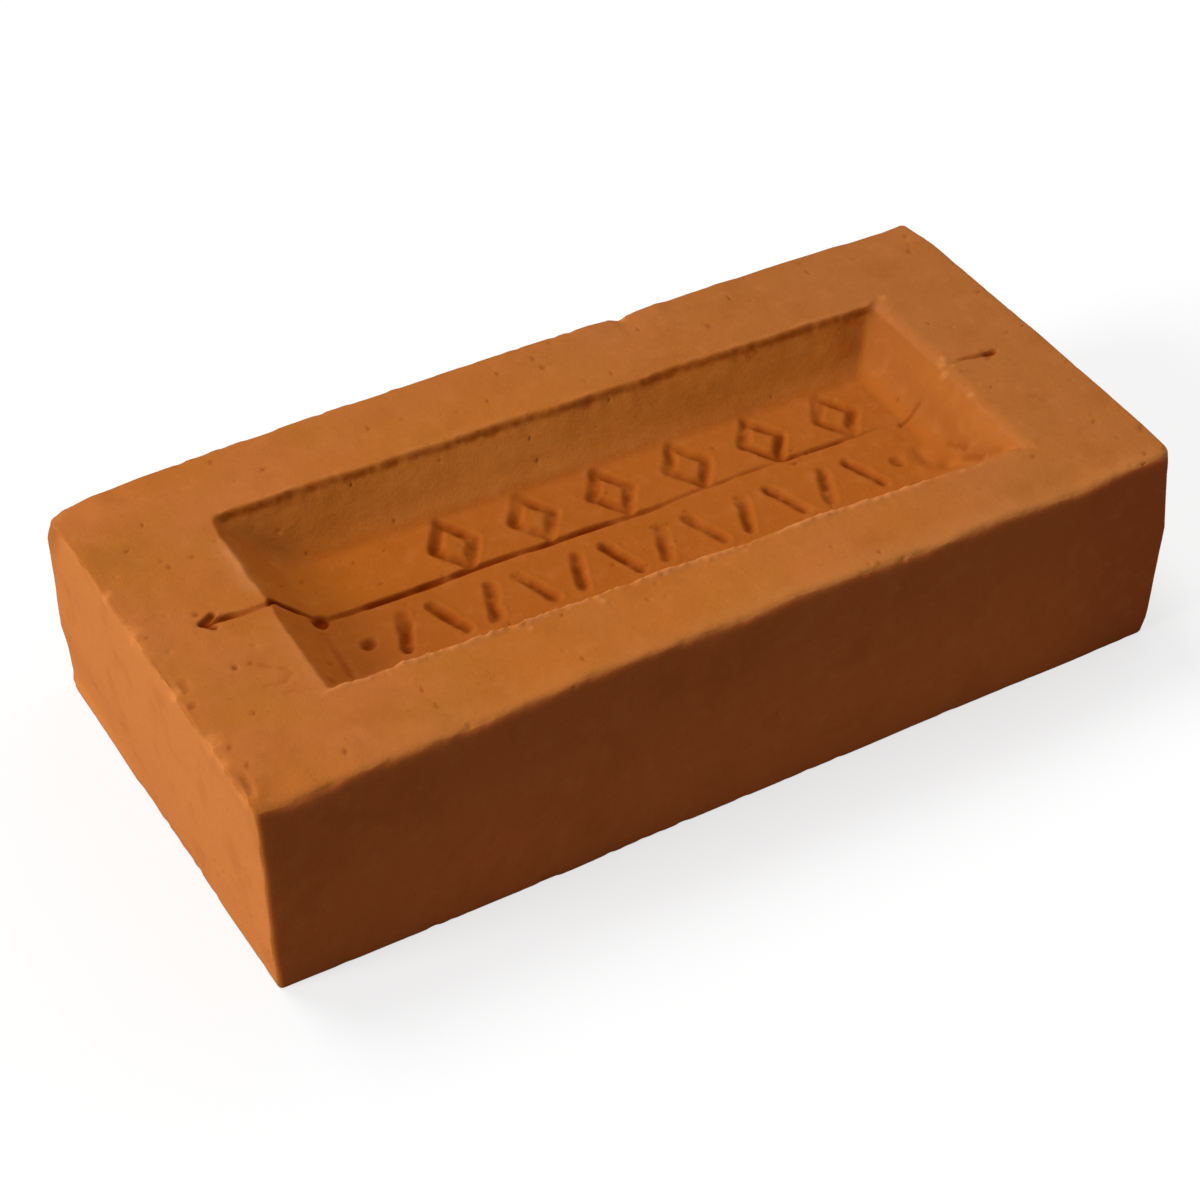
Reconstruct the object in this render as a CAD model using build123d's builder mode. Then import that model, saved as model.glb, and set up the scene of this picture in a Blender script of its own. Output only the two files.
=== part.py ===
from build123d import *
import math
import os

# A frogged clay brick, pressed and fired in one piece. Lengths are in millimetres.
# +X runs along the brick, +Y across it and +Z up. The origin is the middle of the bed that it lies on.

# Body
brick_length = 225.0  # over the fullest part of the bulging ends
brick_width = 105.0
brick_height = 50.0
end_top_inset = 0.3  # how much the bulge of each end has gone in by the top
end_bed_inset = 1.5  # and by the bed
end_full_share = 0.69  # height of the bulge's fullest part, of the brick's height
corner_radius = 1.2  # upright corners
top_arris_radius = 0.8
bed_arris_radius = 0.8

# Frog, the hollow in the top that the mortar keys into
frog_length = 168.0  # of the opening
frog_width = 61.0
frog_depth = 11.0
frog_end_run = 10.0  # how far an end wall comes in on its way down
frog_side_run = 10.3  # the same for a side wall
frog_shift = 0.3  # the opening's middle, along the brick
frog_shift_across = -0.9
frog_turn = -1.85  # degrees, the pressed frog stands a little askew
floor_shift = 2.0  # the floor's middle along the frog, so the left end wall lies flatter than the right
frog_corner_radius = 1.2  # in plan, at the lip
floor_corner_radius = 2.0  # in plan, at the floor
foot_radius = 2.0  # where the walls meet the floor
lip_radius = 0.8  # where the walls meet the top

# Centre line, a half-round groove over both rims, both end walls and the floor, with an arrowhead at each end
groove_width = 1.6
groove_tip_share = 0.52  # how far each tip is out over its end rim, of the rim's width
barb_length = 4.6
barb_angle = 33.0  # degrees from the line

# Stamped keying marks, all pressed to one depth in the frog's floor
stamp_depth = 0.9
stroke_width = 1.9
lozenge_count = 6
lozenge_pitch = 19.5
lozenge_start = -36.0  # first lozenge, from the frog's middle
lozenge_height = 14.5
lozenge_width = 9.5
lozenge_row = 9.8  # row's middle, from the centre line
bar_count = 12
bar_pitch = 10.4
bar_start = -58.0  # first bar, from the frog's middle
bar_length = 12.5
bar_lean = 20.0  # degrees from upright, each bar leaning the other way from the last
bar_row = -11.0
dot_diameter = 2.8
dot_gap = 8.5  # from the last bar, at both ends of the row

overrun = 1.0  # how far a stamp starts clear of the floor that it goes into
tolerance = 1e-4  # within which an edge or a face counts as level with a plane

top_end = brick_length / 2 - end_top_inset
bed_end = brick_length / 2 - end_bed_inset
full_height = end_full_share * brick_height
floor_length = frog_length - 2 * frog_end_run
floor_width = frog_width - 2 * frog_side_run
floor_left = floor_shift - floor_length / 2
floor_right = floor_shift + floor_length / 2
end_rim = (brick_length - frog_length) / 2
groove_reach = frog_length + 2 * groove_tip_share * end_rim  # from tip to tip
groove_radius = groove_width / 2
lozenge_side = math.hypot(lozenge_width, lozenge_height) / 2
lozenge_slope = math.degrees(math.atan2(lozenge_height, lozenge_width))
bar_end = bar_start + (bar_count - 1) * bar_pitch
upright = 90
turn = math.radians(frog_turn)
barb = math.radians(barb_angle)

frog_middle = Vector(frog_shift, frog_shift_across, brick_height)
along_frog = Vector(math.cos(turn), math.sin(turn), 0)
across_frog = Vector(-math.sin(turn), math.cos(turn), 0)
frog_plane = Plane(origin=frog_middle, x_dir=along_frog, z_dir=(0, 0, 1))
floor_plane = frog_plane.offset(-frog_depth)
# The upright plane along the centre line: its x runs along the frog and its y runs up.
line_plane = Plane(origin=frog_middle, x_dir=along_frog, z_dir=-across_frog)


# True for an edge or a face that lies wholly in a level plane
def on_plane(shape, plane):
    box = shape.bounding_box()
    level = plane.origin.Z
    return abs(box.min.Z - level) < tolerance and abs(box.max.Z - level) < tolerance


with BuildPart() as brick:
    # Body: an upright outline with bulging ends, drawn out over the width
    with BuildSketch(Plane.XZ):
        with BuildLine():
            bed = Line((-bed_end, 0), (bed_end, 0))
            right_end = ThreePointArc(bed @ 1, (brick_length / 2, full_height), (top_end, brick_height))
            top = Line(right_end @ 1, (-top_end, brick_height))
            ThreePointArc(top @ 1, (-brick_length / 2, full_height), bed @ 0)
        make_face()
    extrude(amount=brick_width / 2, both=True)
    uprights = brick.edges().filter_by(Axis.X, reverse=True).filter_by(Axis.Y, reverse=True)
    fillet(uprights, corner_radius)
    fillet(brick.faces().sort_by(Axis.Z)[-1].edges(), top_arris_radius)
    fillet(brick.faces().sort_by(Axis.Z)[0].edges(), bed_arris_radius)

    # Frog: sloping walls between the opening and the floor
    with BuildSketch(frog_plane):
        RectangleRounded(frog_length, frog_width, frog_corner_radius)
    with BuildSketch(floor_plane):
        with Locations((floor_shift, 0)):
            RectangleRounded(floor_length, floor_width, floor_corner_radius)
    loft(ruled=True, mode=Mode.SUBTRACT)
    foot_edges = brick.edges().filter_by(lambda edge: on_plane(edge, floor_plane))
    fillet(foot_edges, foot_radius)
    opening = brick.faces().filter_by(lambda face: on_plane(face, frog_plane))[0].inner_wires()[0]
    fillet(opening.edges(), lip_radius)

    # Centre line: round runs with a ball at each bend, along the surface from tip to tip
    bends = [
        line_plane.from_local_coords(place)
        for place in (
            (-groove_reach / 2, 0),
            (-frog_length / 2, 0),
            (floor_left, -frog_depth),
            (floor_right, -frog_depth),
            (frog_length / 2, 0),
            (groove_reach / 2, 0),
        )
    ]
    runs = list(zip(bends, bends[1:]))
    # Arrowheads: two short runs back from each tip
    for tip, end in ((bends[0], -1), (bends[-1], 1)):
        for side in (-1, 1):
            heading = across_frog * side * math.sin(barb) - along_frog * end * math.cos(barb)
            runs.append((tip, tip + heading * barb_length))
    for start, finish in runs:
        with BuildSketch(Plane(origin=start, z_dir=finish - start)):
            Circle(groove_radius)
        extrude(amount=(finish - start).length, mode=Mode.SUBTRACT)
        with Locations(finish):
            Sphere(groove_radius, mode=Mode.SUBTRACT)

    # Keying marks: open lozenges over the line, leaning bars between two dots under it
    with BuildSketch(floor_plane.offset(overrun)):
        for index in range(lozenge_count):
            middle = lozenge_start + index * lozenge_pitch
            for across, up in ((-1, -1), (-1, 1), (1, -1), (1, 1)):
                with Locations((middle + across * lozenge_width / 4, lozenge_row + up * lozenge_height / 4)):
                    SlotCenterToCenter(lozenge_side, stroke_width, rotation=-across * up * lozenge_slope)
        for index in range(bar_count):
            lean = bar_lean if index % 2 else -bar_lean
            with Locations((bar_start + index * bar_pitch, bar_row)):
                SlotOverall(bar_length, stroke_width, rotation=upright + lean)
        with Locations((bar_start - dot_gap, bar_row), (bar_end + dot_gap, bar_row)):
            Circle(dot_diameter / 2)
    extrude(amount=-(overrun + stamp_depth), mode=Mode.SUBTRACT)

brick.part.label = "brick"

os.makedirs("parts", exist_ok=True)
export_step(brick.part, "parts/brick.step")
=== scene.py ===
import math

import bpy
import numpy as np
from mathutils import Matrix, Vector


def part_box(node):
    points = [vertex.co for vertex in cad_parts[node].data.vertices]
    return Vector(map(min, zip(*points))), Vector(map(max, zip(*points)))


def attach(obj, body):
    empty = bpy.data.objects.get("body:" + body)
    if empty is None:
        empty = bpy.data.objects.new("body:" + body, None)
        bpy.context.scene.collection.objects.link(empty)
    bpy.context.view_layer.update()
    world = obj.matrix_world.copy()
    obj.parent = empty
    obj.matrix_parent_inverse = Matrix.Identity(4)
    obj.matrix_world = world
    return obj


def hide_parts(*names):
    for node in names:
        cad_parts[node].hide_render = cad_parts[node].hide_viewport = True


# A frogged clay brick, pressed, fired and a little knocked about.
# Shapes are worked out in millimetres, in the frame's axes, and go into the meshes in metres.

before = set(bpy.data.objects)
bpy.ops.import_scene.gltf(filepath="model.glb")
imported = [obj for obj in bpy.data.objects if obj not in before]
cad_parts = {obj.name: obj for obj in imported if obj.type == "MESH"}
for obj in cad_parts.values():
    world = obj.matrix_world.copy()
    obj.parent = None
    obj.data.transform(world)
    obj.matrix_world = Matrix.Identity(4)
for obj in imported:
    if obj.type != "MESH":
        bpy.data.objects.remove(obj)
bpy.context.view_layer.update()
mm = 0.001
lowCorner, highCorner = (np.array(corner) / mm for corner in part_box("brick"))
halfLength, halfWidth = (highCorner[:2] - lowCorner[:2]) / 2
topLevel = highCorner[2]
print("frame: brick of", np.round(highCorner - lowCorner, 1), "mm")


# Node trees

class Nodes:
    # A node tree that is built by short calls. A value that is a socket is linked, any other is set
    def __init__(self, tree):
        self.tree = tree

    def add(self, kind, inputs=None, **settings):
        # One node, with its settings and then its inputs
        node = self.tree.nodes.new("ShaderNode" + kind)
        for name, value in settings.items():
            setattr(node, name, value)
        for name, value in (inputs or {}).items():
            if isinstance(value, bpy.types.NodeSocket):
                self.tree.links.new(value, node.inputs[name])
            else:
                node.inputs[name].default_value = value
        return node

    def math(self, operation, first, second=0.0, clamp=False):
        # One operation on two values
        return self.add("Math", {0: first, 1: second}, operation=operation, use_clamp=clamp).outputs[0]

    def remap(self, value, start, end, low=0.0, high=1.0):
        # A smooth step from low at start to high at end
        return self.add("MapRange", {"Value": value, "From Min": start, "From Max": end, "To Min": low,
                                     "To Max": high}, interpolation_type="SMOOTHSTEP").outputs[0]

    def blend(self, factor, first, second):
        # From the first colour at 0 to the second at 1
        return self.add("Mix", {"Factor": factor, "A": first, "B": second},
                        data_type="RGBA").outputs["Result"]

    def attribute(self, name):
        # One of the masks that the mesh carries
        return self.add("Attribute", attribute_name=name).outputs["Fac"]


# Camera and studio

camera = {
    # degrees: round the brick, where 0 looks along +Y, up from the floor, and about the line of sight
    "azimuth": -31.78,
    "elevation": 40.92,
    "roll": 1.35,
    # millimetres
    "distance": 634.6,
    "lookAt": (-9.07, -7.8, 25.0),
    "lens": 86.9,
    "sensor": 36.0,
    "nearest": 10.0,  # nothing nearer than this is seen
}

studio = {
    "floorSize": 6000.0,
    "floorDrop": 0.05,  # under the bed, so that the two never share a plane
    "floorRoughness": 0.9,
    "floorGloss": 0.1,
    "floorSeen": 0.97,  # as the camera sees it
    "floorGlow": 0.68,  # how much of that white is its own, which keeps the shadow light
    "floorBounce": 0.25,  # as the brick sees it
    # each lamp: the way to it, its level and how wide it is in degrees. Level 1 lights a face that
    # looks straight at the lamp to its own colour
    "lamps": {
        "back": ((-0.18, 0.48, 0.86), 0.42, 24.0),
        "side": ((-0.90, 0.08, 0.43), 0.72, 22.0),
        "fill": ((0.55, 0.30, 0.78), 0.16, 50.0),
    },
    "skyLevel": 0.26,
}


def addObject(name, content):
    # A new object of the scene, at the origin
    made = bpy.data.objects.new(name, content)
    bpy.context.scene.collection.objects.link(made)
    return made


def makeCamera():
    # The camera stands at its distance out along back and looks down it. Its right and its above are
    # the level and the upright that are square to back, turned about it by the roll.
    around, up, roll = (math.radians(camera[name]) for name in ("azimuth", "elevation", "roll"))
    back = Vector((math.sin(around) * math.cos(up), -math.cos(around) * math.cos(up), math.sin(up)))
    level = Vector((0, 0, 1)).cross(back).normalized()
    upright = back.cross(level)
    right = level * math.cos(roll) + upright * math.sin(roll)
    above = upright * math.cos(roll) - level * math.sin(roll)
    lens = bpy.data.cameras.new("camera")
    lens.sensor_width = lens.sensor_height = camera["sensor"]
    lens.lens = camera["lens"]
    lens.clip_start = camera["nearest"] * mm
    eye = addObject("camera", lens)
    place = (Vector(camera["lookAt"]) + back * camera["distance"]) * mm
    eye.matrix_world = Matrix.Translation(place) @ Matrix((right, above, back)).transposed().to_4x4()
    bpy.context.scene.camera = eye


def makeFloor():
    # A square just under the bed. The camera sees it nearly white, in part by a glow of its own, and
    # to the brick it is a greyer floor that throws back less light.
    half = studio["floorSize"] / 2 * mm
    level = -studio["floorDrop"] * mm
    mesh = bpy.data.meshes.new("floor")
    corners = [(-half, -half, level), (half, -half, level), (half, half, level), (-half, half, level)]
    mesh.from_pydata(corners, [], [(0, 1, 2, 3)])
    floor = addObject("floor", mesh)
    paper = bpy.data.materials.new("paleFloor")
    paper.use_nodes = True
    make = Nodes(paper.node_tree)
    shader = make.tree.nodes["Principled BSDF"]
    shader.inputs["Roughness"].default_value = studio["floorRoughness"]
    shader.inputs["Specular IOR Level"].default_value = studio["floorGloss"]
    shader.inputs["Emission Color"].default_value = (1, 1, 1, 1)
    seen = make.add("LightPath").outputs["Is Camera Ray"]
    shown = studio["floorSeen"] * (1 - studio["floorGlow"])
    colour = make.blend(seen, (studio["floorBounce"],) * 3 + (1,), (shown,) * 3 + (1,))
    make.tree.links.new(colour, shader.inputs["Base Color"])
    glow = make.math("MULTIPLY", seen, studio["floorGlow"])
    make.tree.links.new(glow, shader.inputs["Emission Strength"])
    mesh.materials.append(paper)


def makeLamps():
    # Each lamp is a sun of pi times its level. The sky lights by its own level, and the camera sees
    # it white.
    for name, (toLamp, level, spread) in studio["lamps"].items():
        lamp = bpy.data.lights.new(name, "SUN")
        lamp.energy = level * math.pi
        lamp.angle = math.radians(spread)
        addObject(name, lamp).rotation_euler = Vector(toLamp).to_track_quat("Z", "Y").to_euler()

    sky = bpy.data.worlds.new("sky")
    sky.use_nodes = True
    bpy.context.scene.world = sky
    make = Nodes(sky.node_tree)
    shine = make.tree.nodes["Background"]
    shine.inputs["Color"].default_value = (1, 1, 1, 1)
    seen = make.add("LightPath").outputs["Is Camera Ray"]
    level = make.add("MapRange", {"Value": seen, "To Min": studio["skyLevel"], "To Max": 1.0})
    make.tree.links.new(level.outputs["Result"], shine.inputs["Strength"])


bpy.context.scene.view_settings.view_transform = "Standard"
makeCamera()
makeFloor()
makeLamps()
print("camera, floor and lamps set")


# Small tools for whole arrays

def ease(value, start, end):
    # 0 before start, 1 after end, and the cubic 3t^2 - 2t^3 between them
    share = np.clip((value - start) / (end - start), 0, 1)
    return share * share * (3 - 2 * share)


def softMax(first, second, reach):
    # The higher of the two, rounded by a parabola where they are within reach of each other
    near = np.maximum(reach - np.abs(first - second), 0) / reach
    return np.maximum(first, second) + near * near * reach / 4


def softMin(first, second, reach):
    # The lower of the two, rounded in the same way
    return -softMax(-first, -second, reach)


def easedCurve(value, table):
    # A curve through the (place, height) pairs of the table, level at each of them
    places, heights = np.array(table, float).T
    rank = np.interp(value, places, np.arange(len(places)))
    start = np.minimum(rank.astype(int), len(places) - 2)
    share = rank - start
    return heights[start] + (heights[start + 1] - heights[start]) * share * share * (3 - 2 * share)


def bell(value, middle, width):
    # e to the power of minus the square of the distance from the middle, counted in widths
    return np.exp(-((value - middle) / width) ** 2)


lattice = {
    "values": 16384,
    "lift": 1000,  # keeps the cells' numbers over 0
    "primes": [73856093, 19349663, 83492791],  # they scatter neighbouring cells over the table
    "fold": 13,
}


def clayNoise(points, cell, seed):
    # Random values from -1 to 1 on a lattice of cells, blended along each axis by a cubic step. The
    # cell is a length in millimetres, and each use has a seed of its own.
    table = np.random.default_rng(seed).uniform(-1, 1, lattice["values"])
    scaled = points / cell + lattice["lift"]
    start = np.floor(scaled).astype(np.int64)
    part = scaled - start
    part = part * part * (3 - 2 * part)
    total = np.zeros(len(points))
    for corner in np.ndindex(2, 2, 2):
        key = (start + corner) @ np.array(lattice["primes"])
        weight = np.where(np.array(corner) == 1, part, 1 - part).prod(axis=1)
        total += weight * table[(key ^ (key >> lattice["fold"])) % len(table)]
    return total


def layeredNoise(points, layers):
    # Noises on top of each other: the sum of height times noise over the (height, cell, seed) layers
    return sum(height * clayNoise(points, cell, seed) for height, cell, seed in layers)


def segmentDistance(x, y, first, second):
    # How far each point lies from the straight stroke between two places: its foot on the stroke is
    # the dot product over the stroke's squared length, kept from 0 to 1. The small number is for
    # dots, which have no length.
    first, second = np.array(first, float), np.array(second, float)
    run = second - first
    share = np.clip(((x - first[0]) * run[0] + (y - first[1]) * run[1]) / (run @ run + 1e-12), 0, 1)
    return np.hypot(x - first[0] - share * run[0], y - first[1] - share * run[1])


def spacedLines(stops):
    # Line places along one axis: the step between neighbours follows the (place, step) stops
    places, steps = np.array(stops, float).T
    fine = np.linspace(places[0], places[-1], 8001)  # close enough to add up the steps on
    middles = (fine[1:] + fine[:-1]) / 2
    count = np.concatenate([[0], np.cumsum(np.diff(fine) / np.interp(middles, places, steps))])
    return np.interp(np.linspace(0, count[-1], int(round(count[-1])) + 1), count, fine)


# Frog: the hollow, its centre line and the keying marks. Places along and across are the frog's own

frog = {
    "length": 168.0,
    "width": 61.0,
    "depth": 11.0,
    # how far each wall comes in on its way down
    "runs": {"left": 12.0, "right": 8.0, "near": 10.3, "far": 10.3},
    "middle": (0.3, -0.9),
    "turn": -1.85,  # degrees
    # roundness where the walls meet each other, by the near side and by the far one
    "cornerSoft": 0.8,
    "farCornerSoft": 3.2,
    # and where they meet the top
    "lipSoft": 0.35,
    "rightLipSoft": 4.5,
    # and the floor. A wall with its own softness spreads it so far up the wall and out over the floor
    "footSoft": 1.0,
    "footSofts": {"left": 2.4, "right": 5.0, "far": 3.5},
    "footReaches": {"left": (3, 9), "right": (3, 9), "far": (1, 8)},
    "maskBlend": (0.7, 1.6),  # how softly one wall's mask gives way to the next, and what the far half adds
    "wander": 0.42,  # how far the lips stray from straight lines
    "wanderLayers": [(1, 11, 31), (0.5, 2.6, 32)],
    "wanderReach": 7.0,  # how far inside a lip it has died away
    # ragged clay squeezed out along each lip: its heights, and its middle and width up the slope
    "burrs": {"left": 0.08, "right": 0.04, "near": 0.5, "far": 0.1},
    "burrBell": (0.45, 0.85),
    "fullBurr": 0.35,  # height at which a burr or a crumb is as pale as it gets
    # dark ragged line right under the far lip, its darkness painted shadow of the lip: depth, middle and
    # width
    "crease": 0.3,
    "creaseBell": (-0.85, 0.8),
    "drip": 0.45,  # lumps that hang from it here and there; under this name the line and the hollows between the lumps also get their painted shadow
    "dripLayers": [(0.6, 2.6, 35), (0.4, 1.2, 36)],
    "dripReach": 3.4,
    # crumbs on the near lip: how far they keep from the frog's ends, and how they scatter across
    "crumbs": 110,
    "crumbEnds": (3, 22),
    "crumbScatter": (-0.15, 0.35),
    "strayShare": 0.12,  # of them lie further out
    "strayScatter": (-1.5, 1.0),
    "crumbSizes": (0.4, 1.05),
    "crumbHeights": (0.15, 0.45),
    "seed": 37,
    # single crumbs: along, across, size and height
    "stuck": [(86.5, 4.6, 1.8, 0.3), (85.4, 2.9, 1.4, 0.25), (84.4, 0.4, 1.7, 0.35), (87.2, 1.4, 1.1, 0.2),
              (84.9, -9.1, 1.7, 0.35), (87.9, 31.2, 1.6, 0.25), (-22.4, -46.8, 1.2, 0.2)],
    "lumps": 0.5,  # how rough the corner by the right and near walls is
    # where things fade: between two places along or across, two distances in from a wall's lip, or
    # two heights of the slope
    "fades": {
        "farHalf": (0, 20),
        "calm": (14, 36),  # the near lip, out towards the right
        "wallTop": (-0.4, 0.6),
        "floorLeftAlong": (-62, -30),
        "floorLeftAcross": (-4, 6),
        "rightLipUp": (-8, -1),
        "rightLipAcross": (-12, 28),
        "deepRight": (7, 18),
        "deepLeftFar": (8, 24),
        "deepLeftNear": (12, 28),
        "paleStart": (0, 7),
        "paleEnd": (16, 25),
        "paleNear": (6, 14),
        "burrLeftStart": (2, 8),
        "burrLeftEnd": (16, 24),
        "burrRight": (-14, -8),
        "dripPatches": (-0.2, 0.5),
        "dripTop": (-0.2, 0.6),
        "lumpsStart": (0, 3),
        "lumpsEnd": (12, 20),
        "lumpsAcross": (22, 32),
        "lumpsTop": (-1, 1),
    },
    "farLight": (-18, 36),  # the far wall's light stretch: middle and width along
    "paleBell": (0.9, 1.8),  # the left lip's painted highlight: middle and width up the slope
}

line = {
    "tipOut": 14.6,  # how far the tips run out past the lips
    "width": 1.25,
    "leastWidth": 0.65,  # share of the width that the faintest stretch keeps
    "depth": 1.0,
    "soft": 0.42,
    "wander": 0.15,
    "uneven": (0.95, 0.3, 1.3),  # how unevenly it was pressed: middle, swing and most
    # how far the line is across from the middle, and how strongly it was pressed
    "sway": [(-100, -0.5), (-96, -1.0), (-88, -1.3), (-84.5, -1.2), (-82, 0.8), (-76, 0.6), (-72, 0.1),
             (-53, 0.1), (-33, 0.6), (-7, 0.5), (4, 0.2), (23, 1.1), (35, 1.4), (60, 1.2), (84, 1.9),
             (91, 2.8), (95, 2.1), (100, 1.8)],
    "strengths": [(-100, 1.1), (-94, 1.1), (-90, 0.8), (-87, 0.45), (-85, 0.6), (-83, 1.7), (-78, 1.7),
                  (-75.5, 1.1), (-71, 0.7), (-66, 0.9), (-60, 1.1), (-10, 1.0), (8, 0.6), (22, 0.35),
                  (30, 0.5), (36, 0.4), (40.5, 0.15), (44, 0.8), (52, 0.75), (60, 0.6), (66, 0.2),
                  (70, 0.05), (88, 0.05), (92, 0.45), (95, 0.6), (97.3, 1.4), (99, 1.4)],
    # barbs: which end, which side, length, degrees from the line, strength
    "barbs": [(-1, 1, 3.5, 34, 1.0), (-1, -1, 2.6, 44, 0.9), (1, 1, 2.4, 34, 0.2), (1, -1, 3.0, 32, 0.35)],
    "pit": (-72.7, -0.9, 2.3, 1.6),  # deeper spot at the left foot: place, reach and depth
}

marks = {
    "stroke": 2.2,
    "depth": 1.05,
    "soft": 0.85,
    "wobble": 0.28,  # how far the strokes' edges stray
    "ridge": 0.09,  # clay pushed up beside a stroke
    "ridgeBell": (0.9, 0.45),  # its middle and width, out from the stroke
    "strengths": (0.7, 1.1),  # each mark's own share of the depth
    "lozenges": 6,
    "lozengePitch": 19.5,
    "lozengeStart": -36.0,
    "lozengeHeight": 14.5,
    "lozengeWidth": 9.5,
    "lozengeRow": 9.8,
    "bars": 12,
    "barPitch": 10.4,
    "barStart": -58.0,
    "barLength": 12.5,
    "barLean": 20.0,
    "barRow": -11.0,
    "dot": 2.8,
    "dotGap": 8.5,
    "seed": 51,
}

# Nicks in the top and in the frog: from and to, along and across, then half width and depth
nicks = [
    (-97.8, -16.0, -97.8, -16.0, 0.75, 0.8), (-98.5, 21.5, -98.2, 21.5, 0.6, 0.3),
    (-97.7, 19.2, -97.5, 19.0, 0.7, 0.35), (-97.5, 16.6, -97.5, 16.4, 0.5, 0.3),
    (-103.1, 33.9, -100.1, 35.3, 0.5, 0.15), (-93.0, -17.6, -88.8, -20.8, 0.7, 0.25),
    (-88.8, -20.8, -88.7, -22.5, 0.7, 0.28), (-88.7, -22.5, -90.9, -24.4, 0.7, 0.28),
    (-90.9, -24.4, -95.1, -23.8, 0.7, 0.24), (-92.5, -28.0, -89.5, -27.0, 0.6, 0.2),
    (-109.3, -15.3, -109.3, -17.6, 1.1, 0.45), (-109.8, -22.6, -110.0, -22.9, 1.3, 0.45),
    (-109.0, -45.0, -109.5, -49.3, 1.1, 0.4),
    (72.9, -0.3, 78.6, 0.9, 0.7, 0.5), (77.3, -13.1, 78.5, -17.7, 0.8, 0.5),
    (77.3, -18.9, 79.4, -22.9, 0.8, 0.5), (80.0, -23.1, 81.5, -25.8, 0.6, 0.35),
    (87.8, -1.2, 90.7, -2.7, 0.4, 0.2), (-78.6, -18.6, -78.6, -18.6, 1.0, 0.4),
    (-81.2, -26.0, -81.2, -26.0, 1.2, 0.5), (-19.0, 30.0, -17.5, 29.6, 0.9, 0.5),
    (-73.2, -5.5, -73.6, -12.0, 1.4, 0.25), (-73.6, -12.0, -74.6, -20.5, 1.8, 0.45),
]
nickTint = 1.1  # how dark a nick is for each millimetre of its depth: painted shade in the nick


def frogPlace(x, y):
    # Along and across the frog, which stands askew on the brick: the place from its middle, turned back
    turn = math.radians(frog["turn"])
    x = x - frog["middle"][0]
    y = y - frog["middle"][1]
    return x * math.cos(turn) + y * math.sin(turn), y * math.cos(turn) - x * math.sin(turn)


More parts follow.
